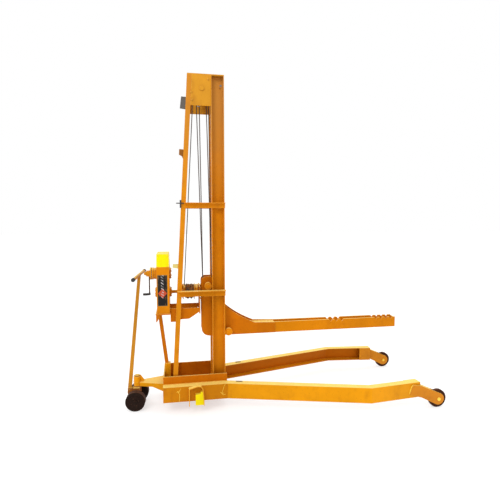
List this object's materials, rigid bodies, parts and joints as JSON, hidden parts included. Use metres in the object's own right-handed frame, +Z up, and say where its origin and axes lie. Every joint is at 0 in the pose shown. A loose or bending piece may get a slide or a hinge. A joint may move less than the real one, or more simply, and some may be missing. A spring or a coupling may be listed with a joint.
{
  "type": "hand winch mast lift",
  "caption": "Wheeled mast lift: a hand winch and wire rope raise a notched cantilever arm between two channel columns over splayed legs.",
  "frame": {"origin": "on the floor under the middle of the overall length and width", "axes": "+X forward along the arm and legs, +Y to the machine's left, +Z up; the mast's middle plane is Y = 0"},
  "size_m": [3.1498, 1.23, 3.228],
  "materials": {
    "paint": "amber gloss enamel, worn at edges",
    "paint_shade": "amber gloss enamel, dull",
    "cap_yellow": "lemon yellow enamel",
    "label": "printed film with a plain pattern",
    "tyre": "dark brown-black solid tread",
    "bare_steel": "turned steel, oily",
    "sheave": "machined iron, greasy",
    "rope": "greased wire rope",
    "grip": "black grip",
    "black_iron": "blackened steel",
    "grey_iron": "grey-brown steel",
    "rust": "rusty, thinly painted steel",
    "gold": "amber paint over turned discs"
  },
  "bodies": {
    "frame": {"side_channel_near": "paint", "side_channel_far": "paint", "sill_near": "paint", "sill_far": "paint", "base_plates": "paint_shade", "leg_near": "paint", "leg_far": "paint", "front_fork_near": "paint", "front_fork_far": "paint", "front_axles": "bare_steel", "side_bracket": "paint", "side_pad": "cap_yellow", "column_near": "paint", "column_far": "paint", "upright_near": "paint", "upright_far": "paint", "mast_head": "paint", "upper_braces": "paint", "lower_braces": "paint", "clamp_bolt": "black_iron", "dark_lug": "grey_iron", "rear_lugs": "rust", "head_axle": "bare_steel", "rope_fixed": "rope", "rope_falls": "rope", "winch_bracket": "paint", "bearing_plate": "paint", "winch_casing": "paint", "winch_cap": "cap_yellow", "casing_label": "label", "winch_strut": "paint", "strut_post": "paint", "drawbar": "paint"},
    "carriage": {"cheek_near": "paint", "cheek_far": "paint", "arm_near": "paint", "arm_far": "paint", "carriage_ties": "paint", "roller_axles": "bare_steel", "rope_bight": "rope"},
    "upper_rollers": {"upper_rollers": "paint"},
    "lower_rollers": {"lower_rollers": "paint"},
    "moving_sheave_near": {"moving_sheave_near": "sheave"},
    "moving_sheave_far": {"moving_sheave_far": "sheave"},
    "head_sheave_small": {"head_sheave_small": "sheave"},
    "head_sheave_large": {"head_sheave_large": "sheave"},
    "drum": {"drum": "paint", "rope_winding": "rope"},
    "crank": {"crank": "black_iron", "brake_discs": "gold"},
    "crank_grip": {"crank_grip": "grip"},
    "front_wheel_near": {"front_wheel_near": "tyre"},
    "front_wheel_far": {"front_wheel_far": "tyre"},
    "bogie": {"steer_axle": "rust", "rear_axle": "bare_steel"},
    "tiller": {"tiller_bar": "paint", "tiller_grip": "paint", "grip_caps": "grip"},
    "rear_wheel_near": {"rear_wheel_near": "tyre"},
    "rear_wheel_far": {"rear_wheel_far": "tyre"}
  },
  "joints": [
    {"name": "crank_turn", "type": "hinge", "parent": "frame", "child": "crank", "pos_m": [-1.2954, 0, 1.336], "axis": [1, 0, 0], "range_deg": [-4320, 23040]},
    {"name": "crank_grip_spin", "type": "hinge", "parent": "crank", "child": "crank_grip", "pos_m": [-1.3644, 0, 1.128], "axis": [1, 0, 0], "continuous": true},
    {"name": "carriage_lift", "type": "slide", "parent": "frame", "child": "carriage", "axis": [0, 0, 1], "range_m": [-0.3005, 1.6005], "deforming": ["rope_falls"]},
    {"name": "drum_turn", "type": "hinge", "parent": "frame", "child": "drum", "pos_m": [-0.9454, 0, 1.148], "axis": [1, 0, 0], "range_deg": [-5760.6, 1080.6]},
    {"name": "head_sheave_small_turn", "type": "hinge", "parent": "frame", "child": "head_sheave_small", "pos_m": [-0.8054, -0.016, 3.095], "axis": [0, 1, 0], "range_deg": [-3820.2, 716.8]},
    {"name": "head_sheave_large_turn", "type": "hinge", "parent": "frame", "child": "head_sheave_large", "pos_m": [-0.8054, 0.016, 3.095], "axis": [0, 1, 0], "range_deg": [-4889.7, 917.3]},
    {"name": "moving_sheave_near_turn", "type": "hinge", "parent": "carriage", "child": "moving_sheave_near", "pos_m": [-0.7584, -0.016, 1.215], "axis": [0, 1, 0], "range_deg": [-2037.7, 382.6]},
    {"name": "moving_sheave_far_turn", "type": "hinge", "parent": "carriage", "child": "moving_sheave_far", "pos_m": [-0.7584, 0.016, 1.215], "axis": [0, 1, 0], "range_deg": [-6112, 1146.5]},
    {"name": "upper_rollers_turn", "type": "hinge", "parent": "carriage", "child": "upper_rollers", "pos_m": [-0.7584, 0, 1.215], "axis": [0, 1, 0], "range_deg": [-459, 2445.2]},
    {"name": "lower_rollers_turn", "type": "hinge", "parent": "carriage", "child": "lower_rollers", "pos_m": [-0.5574, 0, 0.747], "axis": [0, 1, 0], "range_deg": [-2445.2, 459]},
    {"name": "front_wheel_near_spin", "type": "hinge", "parent": "frame", "child": "front_wheel_near", "pos_m": [1.4856, -0.551, 0.09], "axis": [0, 1, 0], "continuous": true},
    {"name": "front_wheel_far_spin", "type": "hinge", "parent": "frame", "child": "front_wheel_far", "pos_m": [1.4856, 0.551, 0.09], "axis": [0, 1, 0], "continuous": true},
    {"name": "steering", "type": "hinge", "parent": "frame", "child": "bogie", "pos_m": [-1.4694, 0, 0.2], "axis": [0, 0, 1], "range_deg": [-36, 44]},
    {"name": "tiller_tilt", "type": "hinge", "parent": "bogie", "child": "tiller", "pos_m": [-1.54422, 0.00523, 0.165], "axis": [0.0698, 0.9976, 0], "range_deg": [-60, 0]},
    {"name": "rear_wheel_near_spin", "type": "hinge", "parent": "bogie", "child": "rear_wheel_near", "pos_m": [-1.47726, -0.11243, 0.095], "axis": [0.0698, 0.9976, 0], "continuous": true},
    {"name": "rear_wheel_far_spin", "type": "hinge", "parent": "bogie", "child": "rear_wheel_far", "pos_m": [-1.46154, 0.11243, 0.095], "axis": [0.0698, 0.9976, 0], "continuous": true}
  ],
  "couplings": [
    {"joint": "carriage_lift", "follows": "crank_turn", "m_per_rad": 0.0039788},
    {"joint": "drum_turn", "follows": "crank_turn", "ratio": -0.25},
    {"joint": "head_sheave_small_turn", "follows": "crank_turn", "ratio": -0.16578},
    {"joint": "head_sheave_large_turn", "follows": "crank_turn", "ratio": -0.2122},
    {"joint": "moving_sheave_near_turn", "follows": "crank_turn", "ratio": -0.088418},
    {"joint": "moving_sheave_far_turn", "follows": "crank_turn", "ratio": -0.26525},
    {"joint": "upper_rollers_turn", "follows": "crank_turn", "ratio": 0.1061},
    {"joint": "lower_rollers_turn", "follows": "crank_turn", "ratio": -0.1061}
  ]
}
